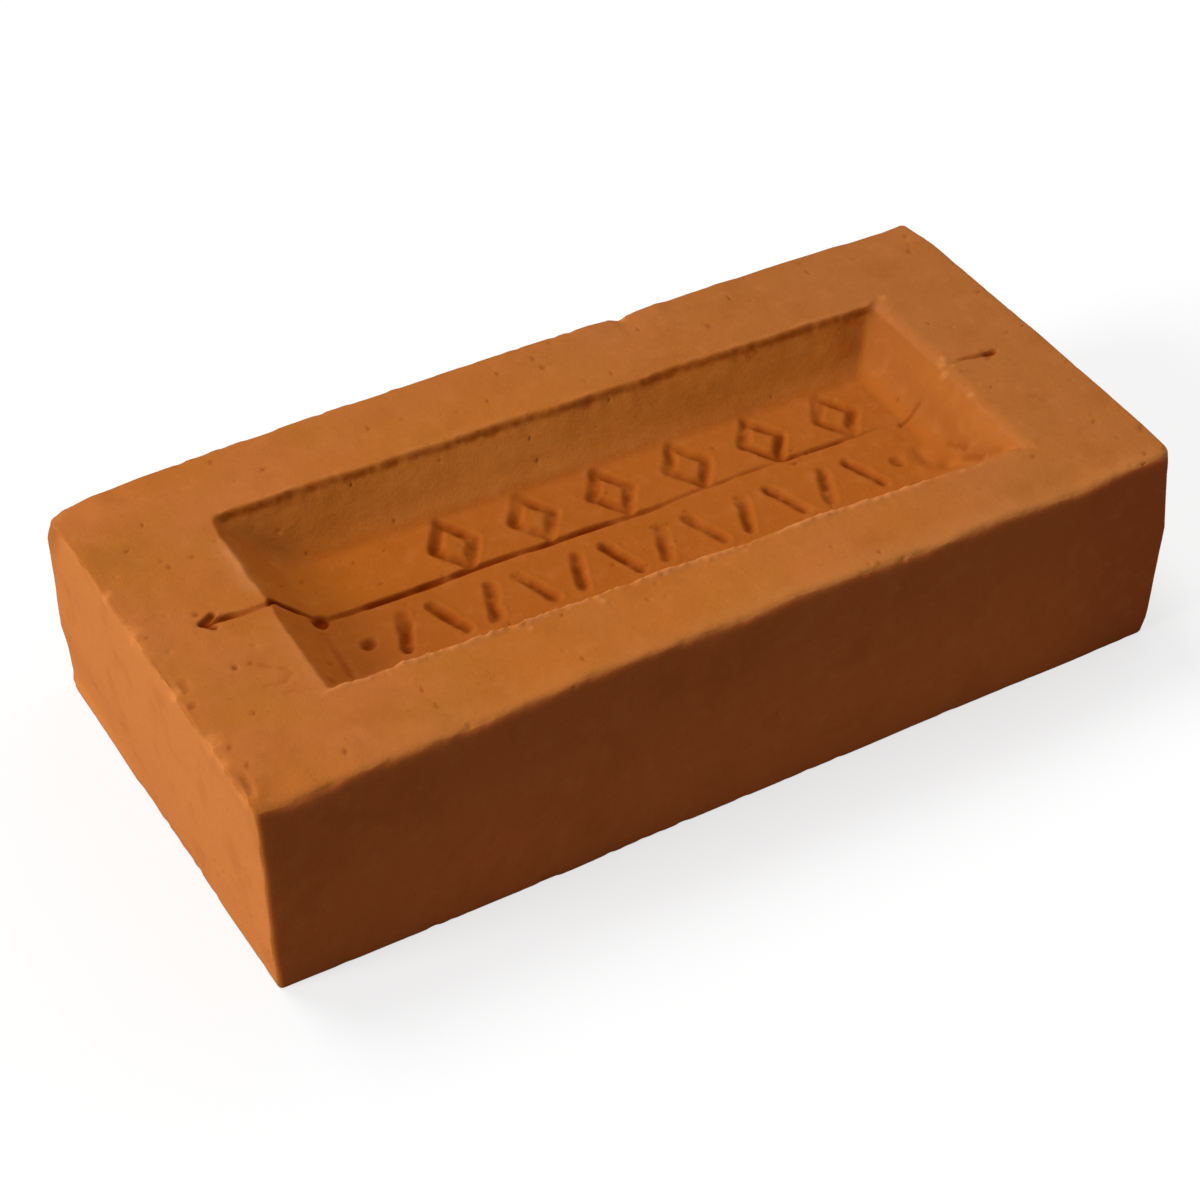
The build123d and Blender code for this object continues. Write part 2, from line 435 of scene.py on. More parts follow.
def frogHollow(along, across):
    # Each wall is a slope that starts at its lip. The surface is the highest of the four slopes,
    # never under the floor and never over the top, with all the meetings rounded. Masks tell the
    # walls apart: a wall's mask is 1 where its own slope is the highest.
    half, side, depth, runs = frog["length"] / 2, frog["width"] / 2, frog["depth"], frog["runs"]
    flat = np.stack([along, across, np.zeros_like(along)], axis=1)

    def fade(value, name):
        # 0 before the named pair's first number and 1 after its second
        return ease(value, *frog["fades"][name])

    stray = frog["wander"] * layeredNoise(flat, frog["wanderLayers"])
    inside = {"left": along + half, "right": half - along, "near": across + side, "far": side - across}
    slopes = {name: -(gap + stray * (1 - ease(gap, 0, frog["wanderReach"]))) * depth / runs[name]
              for name, gap in inside.items()}
    far = fade(across, "farHalf")
    blend = frog["maskBlend"][0] + frog["maskBlend"][1] * far
    lead = {name: ease(value - np.max([slopes[other] for other in slopes if other != name], axis=0),
                       -blend, blend)
            for name, value in slopes.items()}
    soft = frog["cornerSoft"] + (frog["farCornerSoft"] - frog["cornerSoft"]) * far
    slope = softMax(softMax(slopes["left"], slopes["right"], soft),
                    softMax(slopes["near"], slopes["far"], soft), soft)

    softer = {}
    for name, (up, out) in frog["footReaches"].items():
        share = 1 - ease(inside[name], runs[name] - up, runs[name] + out)
        softer[name] = (frog["footSofts"][name] - frog["footSoft"]) * share
    foot = np.maximum(frog["footSoft"] + softer["left"] + softer["right"], frog["footSoft"] + softer["far"])
    calm = 1 - fade(inside["right"], "calm")
    lip = np.maximum(lead["right"], 0.5 * calm * lead["near"])
    lip = frog["lipSoft"] + (frog["rightLipSoft"] - frog["lipSoft"]) * lip
    hollow = softMin(softMax(slope, -depth, foot), 0, lip)

    wall = ease(slope, -depth - 0.3 * foot, -depth + 1.1 * foot)  # 0 on the floor, 1 above the foot's round
    masks = {name + "Wall": lead[name] * wall * (1 - fade(slope, "wallTop"))
             for name in ("left", "right", "far")}
    masks["floor"] = 1 - wall
    masks["floorLeft"] = (1 - wall) * (1 - fade(along, "floorLeftAlong")) * fade(across, "floorLeftAcross")
    masks["rightLip"] = masks["rightWall"] * fade(slope, "rightLipUp") * (1 - fade(across, "rightLipAcross"))
    masks["farLight"] = masks["farWall"] * bell(along, *frog["farLight"])
    # painted shade in the frog's corners: the far wall by the right end, and the left wall towards the far
    # side
    masks["cornerDeep"] = masks["farWall"] * (1 - fade(inside["right"], "deepRight"))
    masks["cornerDeep"] += masks["leftWall"] * np.maximum(0.7 * fade(across, "deepLeftFar"),
                                                          0.15 * fade(-across, "deepLeftNear"))
    # painted highlight: a paler band along the rounded left lip
    masks["pale"] = bell(slope, *frog["paleBell"]) * lead["left"]
    masks["pale"] *= (fade(across, "paleStart") * (1 - fade(across, "paleEnd"))
                      + 0.35 * fade(-across, "paleNear"))

    # Burr just outside the lip, the crease and the lumps under the far one, and crumbs on the near one
    uneven = np.clip(0.5 + clayNoise(flat, 4, 33) + 0.6 * clayNoise(flat, 1.3, 34), 0, 1.6)
    share = {"left": fade(across, "burrLeftStart") * (1 - fade(across, "burrLeftEnd")) + 0.3,
             "right": 1 - fade(across, "burrRight"), "near": 1 - 0.95 * calm, "far": 1}
    burr = sum(frog["burrs"][name] * lead[name] * share[name] for name in slopes)
    burr = burr * bell(slope, *frog["burrBell"]) * uneven
    crease = bell(slope, *frog["creaseBell"]) * lead["far"]
    crease *= np.clip(0.75 + 0.4 * clayNoise(flat, 4, 39) + 0.4 * clayNoise(flat, 1.3, 40), 0, 1)
    patchy = fade(clayNoise(flat, 6, 38), "dripPatches")
    under = ease(slope, -frog["dripReach"], -0.8) * (1 - fade(slope, "dripTop")) * lead["far"] * patchy
    lumps = layeredNoise(flat, frog["dripLayers"])
    rough = frog["lumps"] * fade(inside["right"], "lumpsStart") * (1 - fade(inside["right"], "lumpsEnd"))
    rough *= (1 - fade(inside["near"], "lumpsAcross")) * clayNoise(flat, 3.4, 30)
    hollow += (burr - frog["crease"] * crease + frog["drip"] * under * lumps
               + rough * (1 - fade(slope, "lumpsTop")))
    chance = np.random.default_rng(frog["seed"])
    first, last = frog["crumbEnds"]
    crumb = np.zeros_like(along)
    for _ in range(frog["crumbs"]):
        place = chance.uniform(-half + first, half - last), -side + chance.normal(*frog["crumbScatter"])
        if chance.uniform() < frog["strayShare"]:
            place = chance.uniform(-half, half), -side + chance.normal(*frog["strayScatter"])
        size = chance.uniform(*frog["crumbSizes"])
        height = chance.uniform(*frog["crumbHeights"])
        distance = np.hypot((along - place[0]) * 0.75, across - place[1])
        crumb = np.maximum(crumb, height * (1 - ease(distance, 0, size)))
    masks["burr"] = np.clip((burr + crumb) / frog["fullBurr"], 0, 1)
    shape = 1 + 0.35 * clayNoise(flat, 1.5, 29)
    for x, y, size, height in frog["stuck"]:
        crumb = np.maximum(crumb, height * (1 - ease(np.hypot(along - x, across - y) * shape, 0, size)))
    masks["burr"] = np.maximum(masks["burr"], np.clip(0.8 * crumb / frog["fullBurr"], 0, 0.6))
    # painted shadow under the far lip: the crease and the hollows between the lumps
    masks["drip"] = np.maximum(crease, under * np.clip(0.35 - lumps, 0, 1))
    return hollow + crumb, masks


def stroke(distance, half, soft):
    # 1 in the middle of a stroke, 0 outside, and a smooth shoulder between
    return 1 - ease(distance, half - soft, half + soft)


def pressLine(along, across):
    # How deep the centre line, its arrowheads and the pit at the foot are pressed in: the deepest of
    # them at each point, each its depth times a stroke
    flat = np.stack([along, across * 0, across * 0], axis=1)
    tip = frog["length"] / 2 + line["tipOut"]
    offset = across - easedCurve(along, line["sway"]) - line["wander"] * clayNoise(flat, 5, 41)
    middle, swing, most = line["uneven"]
    uneven = np.clip(middle + swing * clayNoise(flat, 3, 42), 0, most)
    strength = easedCurve(along, line["strengths"]) * uneven
    half = line["width"] / 2 * (line["leastWidth"] + (1 - line["leastWidth"]) * strength)
    distance = segmentDistance(along, offset, (-tip, 0), (tip, 0))
    deep = line["depth"] * strength * stroke(distance, half, line["soft"])
    for end, side, length, angle, share in line["barbs"]:
        angle = math.radians(angle)
        back = end * (tip - length * math.cos(angle)), side * length * math.sin(angle)
        distance = segmentDistance(along, offset, (end * tip, 0), back)
        deep = np.maximum(deep, line["depth"] * share * stroke(distance, line["width"] / 2, line["soft"]))
    x, y, reach, depth = line["pit"]
    slanted = (along - x) - 0.5 * (across - y), (across - y) * 0.75
    return np.maximum(deep, depth * (1 - ease(np.hypot(*slanted), 0.3 * reach, reach)))


def pressMarks(along, across):
    # How deep the lozenges, bars and dots are pressed in, each with a strength of its own, and the
    # low ridge that the clay makes round them
    flat = np.stack([along, across, across * 0], axis=1)
    along = along + marks["wobble"] * (clayNoise(flat, 3.1, 43) + 0.5 * clayNoise(flat, 1.2, 44))
    across = across + marks["wobble"] * (clayNoise(flat, 3.1, 45) + 0.5 * clayNoise(flat, 1.2, 46))
    chance = np.random.default_rng(marks["seed"])
    edge = marks["stroke"] / 2
    reach = (marks["barLength"] - marks["stroke"]) / 2
    groups = []
    for index in range(marks["lozenges"]):
        middle = marks["lozengeStart"] + index * marks["lozengePitch"]
        row, wide, high = marks["lozengeRow"], marks["lozengeWidth"] / 2, marks["lozengeHeight"] / 2
        ring = [(middle + wide, row), (middle, row + high), (middle - wide, row), (middle, row - high)]
        groups.append((list(zip(ring, ring[1:] + ring[:1])), edge))
    for index in range(marks["bars"]):
        middle = marks["barStart"] + index * marks["barPitch"]
        lean = math.radians(marks["barLean"]) * (1 if index % 2 == 0 else -1)
        over, up = reach * math.sin(lean), reach * math.cos(lean)
        ends = (middle - over, marks["barRow"] - up), (middle + over, marks["barRow"] + up)
        groups.append(([ends], edge))
    last = marks["barStart"] + (marks["bars"] - 1) * marks["barPitch"]
    for middle in (marks["barStart"] - marks["dotGap"], last + marks["dotGap"]):
        groups.append(([((middle, marks["barRow"]), (middle, marks["barRow"]))], marks["dot"] / 2))
    deep, raised = np.zeros_like(along), np.zeros_like(along)
    for strokes, half in groups:
        distance = np.min([segmentDistance(along, across, *ends) for ends in strokes], axis=0)
        strength = marks["depth"] * chance.uniform(*marks["strengths"])
        deep = np.maximum(deep, strength * stroke(distance, half, marks["soft"]))
        raised = np.maximum(raised, marks["ridge"] * bell(distance - half, *marks["ridgeBell"]))
    uneven = np.clip(0.9 + 0.5 * clayNoise(flat, 3.5, 47) + 0.3 * clayNoise(flat, 1.6, 49), 0.15, 1.3)
    return deep * uneven, raised


def cutNicks(along, across):
    # How deep the nicks are, each a short stroke with a rough edge
    flat = np.stack([along, across, across * 0], axis=1)
    rough = 0.25 * clayNoise(flat, 0.9, 48)
    return np.max([depth * stroke(segmentDistance(along, across, (x0, y0), (x1, y1)) + rough,
                                  half * 0.6, half * 0.5)
                   for x0, y0, x1, y1, half, depth in nicks], axis=0)


# Body: one closed surface, made of the top with the frog, a band round the sides and rings on the bed

block = {
    "topInset": 0.3,  # the ends bulge: how far in they are at the top
    "bedInset": 1.5,  # and at the bed
    "fullShare": 0.69,  # height of the fullest part
    # radii of the upright corners: front left and right, then back left and right
    "uprights": [[1.0, 3.0], [1.5, 1.4]],
    "topArris": 0.45,
    "bedArris": 0.4,
    "arrisRows": 3,
    "bedArrisRows": 2,
    # steps between the rows of the sides, by height
    "rows": [(0.4, 0.6), (4.0, 1.7), (12.0, 3.6), (37.0, 3.6), (45.5, 1.6), (49.55, 0.5)],
    "bedRings": 3,
    # how much of the grid's edge bends round an upright: a length and a share of its radius
    "cornerZone": (0.5, 0.5),
    "drawReach": 6,  # and how far from the edge the grid draws in for it
    "turnMargin": 3,  # how far outside the frog the grid is turned as the frog is
    "gridStep": 1.06,  # share of the written steps between the top's lines
}


def endInset(level):
    # A parabola under the fullest part and another above it
    full = block["fullShare"] * topLevel
    under = block["bedInset"] * ((full - level) / full) ** 2
    over = block["topInset"] * ((level - full) / (topLevel - full)) ** 2
    return np.where(level < full, under, over)


def uprightRadius(x, y):
    # The radius of the upright whose quarter of the brick the point is in
    return np.array(block["uprights"])[(y > 0).astype(int), (x > 0).astype(int)]


def topLines():
    # Close lines where the lips, feet, marks and arrowheads are, wide ones on the plain rims
    half, side = frog["length"] / 2, frog["width"] / 2
    leftFoot, rightFoot = half - frog["runs"]["left"], half - frog["runs"]["right"]
    foot = side - frog["runs"]["near"]
    endX = halfLength - block["topInset"] - block["topArris"]
    endY = halfWidth - block["topArris"]
    tip = half + line["tipOut"]
    alongStops = [(-endX, 0.45), (-endX + 3, 0.9), (-tip - 3, 0.8), (-tip - 1, 0.45), (-tip + 5, 0.5),
                  (-half - 4, 0.9), (-half - 1.5, 0.4), (-half + 1.5, 0.4), (-half + 5, 0.9),
                  (-leftFoot - 2, 0.6), (-leftFoot + 2, 0.5), (0, 0.56), (rightFoot - 2, 0.5),
                  (rightFoot + 2, 0.5), (half - 3, 0.5), (half + 3, 0.55), (tip - 5, 0.5), (tip + 1, 0.5),
                  (tip + 3, 0.8), (endX - 3, 1.0), (endX, 0.45)]
    acrossStops = [(-endY, 0.45), (-endY + 3, 1.15), (-side - 4, 1.15), (-side - 1.5, 0.4),
                   (-side + 1.5, 0.4), (-side + 5, 0.9), (-foot - 1.5, 0.5), (-foot + 1, 0.5), (-4, 0.6),
                   (-2.2, 0.32), (2.6, 0.32), (4.4, 0.6), (foot - 1, 0.6), (foot + 1.5, 0.5),
                   (side - 5, 0.6), (side - 1.5, 0.36), (side + 1.5, 0.4), (side + 4, 1.15),
                   (endY - 3, 1.15), (endY, 0.45)]
    return (spacedLines([(place, step * block["gridStep"]) for place, step in stops])
            for stops in (alongStops, acrossStops))


def roundedOutline(x, y, reach, halfX, halfY, inset):
    # A point on the edge of the grid goes to a rectangle with round corners, each with its own
    # radius. The grid's last bit before a corner bends round it: 45 degrees from each side.
    radius = np.maximum(uprightRadius(x, y) - inset, 0.02)
    zone = block["cornerZone"][0] + block["cornerZone"][1] * uprightRadius(x, y)
    straightX, straightY = reach[0] - zone, reach[1] - zone
    bendX = np.clip((np.abs(x) - straightX) / zone, 0, 1)
    bendY = np.clip((np.abs(y) - straightY) / zone, 0, 1)
    onLongSide = np.abs(y) > reach[1] - 1e-9
    angle = np.radians(np.where(onLongSide, 90 - 45 * bendX, 45 * bendY))
    outX = np.clip(np.abs(x) / straightX, 0, 1) * (halfX - radius) + radius * np.cos(angle)
    outY = np.clip(np.abs(y) / straightY, 0, 1) * (halfY - radius) + radius * np.sin(angle)
    return np.sign(x) * outX, np.sign(y) * outY


def bodySurface():
    # The top is a grid, turned as the frog is in its middle, with heights of the top plus the hollow
    # less the deepest mark. Round its edge the sides go down as rows of one outline, and the bed goes
    # in as rings that shrink to a spine.
    xLines, yLines = topLines()
    reach = (xLines[-1], yLines[-1])
    columns, rows = len(xLines), len(yLines)
    x, y = (side.ravel() for side in np.meshgrid(xLines, yLines))
    index = np.arange(columns * rows).reshape(rows, columns)
    rim = np.concatenate([index[0, :-1], index[:-1, -1], index[-1, :0:-1], index[:0:-1, 0]])
    rimX, rimY = x[rim], y[rim]

    # The grid turns with the frog inside it and comes straight by its edge
    half, side = frog["length"] / 2 + block["turnMargin"], frog["width"] / 2 + block["turnMargin"]
    inside = (reach[0] - np.abs(x)) / (reach[0] - half), (reach[1] - np.abs(y)) / (reach[1] - side)
    weight = ease(np.minimum(*inside), 0, 1)
    turn = math.radians(frog["turn"])
    turnedX = x * math.cos(turn) - y * math.sin(turn) + frog["middle"][0]
    turnedY = y * math.cos(turn) + x * math.sin(turn) + frog["middle"][1]
    x, y = x + (turnedX - x) * weight, y + (turnedY - y) * weight
    # Near a round upright the grid draws in towards the middle, so that its squares stay open
    drawReach = block["drawReach"]
    drawn = np.clip((np.abs(x) - reach[0] + drawReach) / drawReach, 0, 1)
    drawn *= np.clip((np.abs(y) - reach[1] + drawReach) / drawReach, 0, 1)
    drawn = drawn ** 2 * np.maximum(uprightRadius(x, y) - block["topArris"], 0) * (1 - math.sqrt(0.5))
    x, y = x - np.sign(x) * drawn, y - np.sign(y) * drawn
    x[rim], y[rim] = roundedOutline(rimX, rimY, reach, *reach, block["topArris"])

    along, across = frogPlace(x, y)
    hollow, masks = frogHollow(along, across)
    stamped, raised = pressMarks(along, across)
    ruled, nicked = pressLine(along, across), cutNicks(along, across)
    level = topLevel + hollow + raised * masks["floor"] - np.max([stamped, ruled, nicked], axis=0)
    top = np.stack([x, y, level], axis=1)
    # painted shade in the recesses: the line, marks and nicks grow darker in colour with their depth
    masks["ruled"] = ruled / line["depth"]
    masks["stamped"] = np.maximum(stamped / marks["depth"], nicked * nickTint)

    # Each row of the band, and each ring of the bed, is the outline at its own height and inset
    turnOver = np.linspace(0, math.pi / 2, block["arrisRows"] + 1)[1:]
    over, under = block["topArris"], block["bedArris"]
    upper = [(topLevel - over * (1 - math.cos(angle)), over * (1 - math.sin(angle))) for angle in turnOver]
    face = [(level, 0) for level in spacedLines(block["rows"])[-2::-1]]
    turnUnder = np.linspace(0, math.pi / 2, block["bedArrisRows"] + 1)[1:]
    lower = [(under * (1 - math.sin(angle)), under * (1 - math.cos(angle))) for angle in turnUnder]
    band = []
    for level, inset in upper + face + lower:
        halfX = halfLength - float(endInset(level)) - inset
        ringX, ringY = roundedOutline(rimX, rimY, reach, halfX, halfWidth - inset, inset)
        band.append(np.stack([ringX, ringY, np.full_like(ringX, level)], axis=1))
    outer = band[-1]
    bedX, bedY = np.abs(outer[:, 0]).max(), np.abs(outer[:, 1]).max()
    for share in np.linspace(0, 1, block["bedRings"] + 2)[1:-1]:
        band.append(outer * (1 - share * bedY / bedX, 1 - share, 1))
    spine = outer[:columns] * (1 - bedY / bedX, 0, 1)
    spine[columns - 1:, 0] = -spine[0, 0]

    # Quads of the grid, of the band between neighbouring rows, and of the last ring with the spine
    squares = [index[:-1, :-1], index[:-1, 1:], index[1:, 1:], index[1:, :-1]]
    quads = [np.stack(squares, axis=-1).reshape(-1, 4)]
    count = len(rim)
    ring = rim
    start = columns * rows
    for _ in band:
        lowerRing = start + np.arange(count)
        quads.append(np.stack([lowerRing, np.roll(lowerRing, -1), np.roll(ring, -1), ring], axis=1))
        ring = lowerRing
        start += count
    spineIndex = start + (rim % columns)
    last = np.stack([spineIndex, np.roll(spineIndex, -1), np.roll(ring, -1), ring], axis=1)
    closing = last[:, 0] == last[:, 1]
    faces = np.concatenate(quads + [last[~closing]]).tolist() + last[closing][:, 1:].tolist()
    points = np.concatenate([top] + band + [spine])
    extra = np.zeros(len(points) - len(top))
    return points, faces, {name: np.concatenate([mask, extra]) for name, mask in masks.items()}, len(top)


# Wear: bowed arrises, worn corners, chips, pits and the roughness of fired clay

wear = {
    # how far the top's long arrises dip, by the share of the half length that a point lies at
    "backDip": [(-1.0, 2.3), (-0.95, 2.0), (-0.89, 1.0), (-0.78, 0.3), (-0.6, -0.2), (-0.35, -0.5),
                (0.0, -0.4), (0.2, -0.2), (0.25, 0.2), (0.28, 0.7), (0.33, 0.2), (0.36, -0.1), (0.4, 0.3),
                (0.5, 0.1), (0.6, 0.6), (0.8, 1.0), (0.87, 1.5), (0.95, 1.6), (1.0, 1.3)],
    "frontDip": [(-1.0, 0.8), (-0.94, 1.6), (-0.88, 1.1), (-0.79, 0.4), (-0.72, 0.7), (-0.66, 0.4),
                 (-0.6, 0.6), (-0.5, 0.2), (-0.33, -0.8), (-0.12, -0.5), (0.0, 0.0), (0.1, -0.9),
                 (0.2, -0.4), (0.3, 0.1), (0.4, 0.6), (0.55, 0.3), (0.7, 1.1), (0.76, 1.4), (0.85, 0.4),
                 (0.93, 0.2), (1.0, 0.6)],
    "dipReach": 13.0,  # how far in from the arris the dip starts
    # shares of the height, half width and half length from which the dips, the lean and the ends' wear start
    "starts": (0.4, 0.5, 0.7),
    # how far the front leans out at the bed
    "frontFlare": [(-1.0, 1.4), (-0.8, 1.9), (-0.4, 2.0), (0.1, 2.3), (1.0, 2.2)],
    "frontArris": (2.0, 0.5),  # radius that the front arris of the top is worn to, and how much that varies
    # how far the ends come in at the uprights: signs of X and Y, from where across, and (height, in) pairs
    "endsIn": [(-1, -1, 0, [(0, 0.1), (5, 0.3), (12, 0.3), (18, 0.6), (33, 0.75), (42, 0.4), (50, -0.2)]),
               (-1, 1, -10, [(0, -0.3), (4, 0.7), (10, 0.8), (18, 0.2), (24, 0.4), (30, 0.6), (45, 0.3),
                             (50, 0.3)]),
               (1, -1, 15, [(0, 0.4), (5, 0.0), (14, -0.1), (22, -0.35), (28, -0.65), (33, -0.2), (39, 0.4),
                            (45, 0.8), (50, 0.5)]),
               (1, 1, -40, [(0, -0.3), (30, -0.4), (50, -0.55)])],
    # worn corners: signs of X, Y and Z, how much is gone and how far it reaches
    "corners": [(-1, 1, 1, 1.4, 7.0), (1, -1, 1, 0.8, 5.0), (-1, -1, 1, 0.3, 3.0), (-1, 1, -1, 0.9, 6.0),
                (-1, -1, -1, 0.1, 3.0), (1, -1, -1, 1.0, 5.0), (1, 1, -1, 0.8, 5.0)],
    # what the arrises have lost, evenly and where they are ragged, and how far in that reaches
    "arrisLoss": 0.05,
    "arrisRagged": 0.22,
    "raggedLayers": [(0.6, 6, 76), (0.5, 2.0, 77)],
    "arrisReach": 2.4,
    # noise of the whole surface and of the top alone
    "waveLayers": [(0.24, 46, 72), (0.12, 15, 73)],
    "skinLayers": [(0.06, 5, 74), (0.035, 1.9, 75)],
    "roughLeft": 1.3,  # how much rougher the left rim is
    "tidyRight": 0.65,  # how much less ragged the arrises are to the right
    # chips: X, Y, Z, how far they reach and how deep they go
    "chips": [(-112, -30, 50, 2.8, 0.85), (-112.5, -37, 50, 1.8, 1.1), (-112, -46, 50, 3.2, 0.85),
              (-112, -14, 50, 2.2, 0.95), (-112.5, 7, 50, 2.8, 0.75), (-112, 20, 50, 1.8, 0.95),
              (-70, 52.5, 0, 4.4, 0.7), (61, 52.5, 1, 4.0, 0.6), (112, 30, 1, 3.8, 0.6),
              (31, 52.5, 49, 2.0, 0.5)],
    "chipRough": 0.3,  # how ragged they are, as a share of their reach
    "chipPower": 0.6,  # under 1 they are steep at their rim and flat inside
    "pits": 90,
    "pitSizes": (0.35, 0.95),
    "pitDepths": (0.12, 0.4),
    "pitFlat": 0.2,  # share of its size that is a pit's flat middle
    "pitTint": 0.8,  # how dark they are: painted shade in the pits
    "seed": 71,
    # masks of the faces: how ragged their borders are
    "borderLayers": [(0.5, 3.5, 81), (0.45, 1.3, 82)],
    # where things fade: along X, in from the front, down from the top, or out from the left back corner
    "fades": {
        "border": (-0.2, 0.3),  # how much nearer to its face a point is
        "endCorner": (5, 12),
        "sillIn": (0.5, 8),
        "sillDown": (0.1, 0.7),
        "sillAlong": (-110, 40),
        "lowDown": (5, 45),
        "lowAlong": (-112, -62),
        "frontRight": (70, 112),
        "dim": (-30, 130),
        "roughLeft": (-108, -84),
        "tidyRight": (10, 90),
        "ragged": (-0.05, 0.6),  # heights of the noise
    },
}


def arrisCloseness(points):
    # 1 on the twelve edges of the block and 0 further in: the distance to an edge is taken
    # from the two nearest of the three faces' distances
    gaps = np.sort(np.stack([halfLength - endInset(points[:, 2]) - np.abs(points[:, 0]),
                             halfWidth - np.abs(points[:, 1]),
                             np.minimum(points[:, 2], topLevel - points[:, 2])], axis=1), axis=1)
    distance = np.hypot(np.maximum(gaps[:, 0], 0), np.maximum(gaps[:, 1], 0))
    return 1 - ease(distance, 0.3, wear["arrisReach"])


def faceMasks(points):
    # A face's mask is 1 where a point is nearer to that face than to its neighbours, with a ragged
    # border between two faces. The sill is a paler strip of the top along the front arris.
    x, y, z = points.T
    fades = wear["fades"]
    toLeft, toRight = halfLength - endInset(z) + x, halfLength - endInset(z) - x
    toFront, toBack = y + halfWidth, halfWidth - y
    toTop, toBed = topLevel - z, z + 1  # a millimetre more, so that the faces' masks run down to the bed
    ragged = layeredNoise(points, wear["borderLayers"])
    toCorner = np.linalg.norm(points - (-halfLength, halfWidth, topLevel), axis=1)
    end = ease(np.min([toTop, toFront, toBack, toBed], axis=0) - toLeft - 0.5 + ragged, *fades["border"])
    end *= ease(toCorner, *fades["endCorner"])
    front = ease(np.min([toTop, toLeft, toRight, toBed], axis=0) - toFront + 0.4 * ragged, *fades["border"])
    sill = (1 - ease(toFront + 1.5 * ragged, *fades["sillIn"])) * (1 - ease(toTop, *fades["sillDown"]))
    sill *= ease(x, *fades["sillAlong"])
    # painted light: the front grows paler down towards the bed, against the shade near the floor
    low = front * ease(toTop, *fades["lowDown"]) * (0.35 + 0.65 * ease(x, *fades["lowAlong"]))
    # painted shade: darker towards the right and the back, where the light falls off
    return {"end": end, "front": front, "frontLow": low, "sill": sill,
            "frontRight": front * ease(x, *fades["frontRight"]), "dim": ease(x + 0.5 * y, *fades["dim"])}


def bowed(points):
    # The long arrises of the top dip and rise along their length, the front leans out at its foot and
    # the ends come in at the uprights. A point in the front arris's square that lies further than its
    # radius from the round's centre is drawn to that radius.
    x, y, z = points.T
    share = x / halfLength
    startZ, startY, startX = np.array(wear["starts"]) * (topLevel, halfWidth, halfLength)
    high = ease(z, startZ, topLevel)
    back = ease(y, halfWidth - wear["dipReach"], halfWidth) * easedCurve(share, wear["backDip"])
    front = ease(-y, halfWidth - wear["dipReach"], halfWidth) * easedCurve(share, wear["frontDip"])
    lean = easedCurve(share, wear["frontFlare"]) * (1 - z / topLevel) * ease(-y, startY, halfWidth)
    moved = points.copy()
    flat = np.stack([x, x * 0, x * 0], axis=1)
    radius = wear["frontArris"][0] + wear["frontArris"][1] * clayNoise(flat, 7, 83)
    over = np.stack([radius - y - halfWidth, radius - topLevel + z], axis=1)
    gone = np.maximum(np.linalg.norm(over, axis=1) / radius, 1)
    inSquare = (over.min(axis=1) > 0) & (gone > 1)
    moved[:, 1] += np.where(inSquare, over[:, 0] * (1 - 1 / gone), 0)
    moved[:, 2] -= np.where(inSquare, over[:, 1] * (1 - 1 / gone), 0)
    moved[:, 2] -= (back + front) * high
    moved[:, 1] -= lean
    for signX, signY, start, inwards in wear["endsIn"]:
        weight = ease(signX * x, startX, halfLength) * ease(signY * y, start, halfWidth)
        moved[:, 0] -= signX * weight * easedCurve(z, inwards)
    for signX, signY, signZ, loss, reach in wear["corners"]:
        corner = np.array([signX * halfLength, signY * halfWidth, topLevel if signZ > 0 else 0])
        distance = np.linalg.norm(points - corner, axis=1)
        push = loss * (1 - ease(distance, 0, reach)) ** 1.5
        moved -= push[:, None] * np.array([signX, signY, signZ]) / math.sqrt(3)
    return moved


def worn(points, normals, spread, closeness, topCount):
    # What moves the surface, in millimetres: noise, wear and pits along its own normal, and chips
    # all one way, inwards from the arris that they are on
    fades = wear["fades"]
    fine = 1 + wear["roughLeft"] * (1 - ease(points[:, 0], *fades["roughLeft"]))
    fine[topCount:] = 0
    rise = layeredNoise(points, wear["waveLayers"]) + layeredNoise(points, wear["skinLayers"]) * fine
    ragged = ease(layeredNoise(points, wear["raggedLayers"]), *fades["ragged"])
    tidy = 1 - wear["tidyRight"] * ease(points[:, 0], *fades["tidyRight"])
    rise -= closeness * (wear["arrisLoss"] + wear["arrisRagged"] * tidy * ragged)
    broken = np.zeros(len(points))
    chipped = np.zeros_like(points)
    rough = clayNoise(points, 1.6, 78) + 0.6 * clayNoise(points, 0.9, 79)
    for x, y, z, reach, depth in wear["chips"]:
        distance = np.linalg.norm(points - (x, y, z), axis=1) + wear["chipRough"] * reach * rough
        bite = np.clip(1 - distance / reach, 0, 1) ** wear["chipPower"]
        outwards = np.array([x / halfLength, y / halfWidth, 2 * z / topLevel - 1])
        outwards = np.where(np.abs(outwards) > 0.9, np.sign(outwards), 0)  # the faces it is on
        chipped -= depth * bite[:, None] * outwards / np.linalg.norm(outwards)
        broken = np.maximum(broken, bite)
    chance = np.random.default_rng(wear["seed"])
    pitted = np.zeros(len(points))
    for place in chance.choice(len(points), wear["pits"], p=spread / spread.sum()):
        size = chance.uniform(*wear["pitSizes"])
        depth = chance.uniform(*wear["pitDepths"])
        distance = np.linalg.norm(points - points[place], axis=1)
        bite = 1 - ease(distance, wear["pitFlat"] * size, size)
        rise -= depth * bite
        pitted = np.maximum(pitted, bite)
    return points + normals * rise[:, None] + chipped, broken, pitted


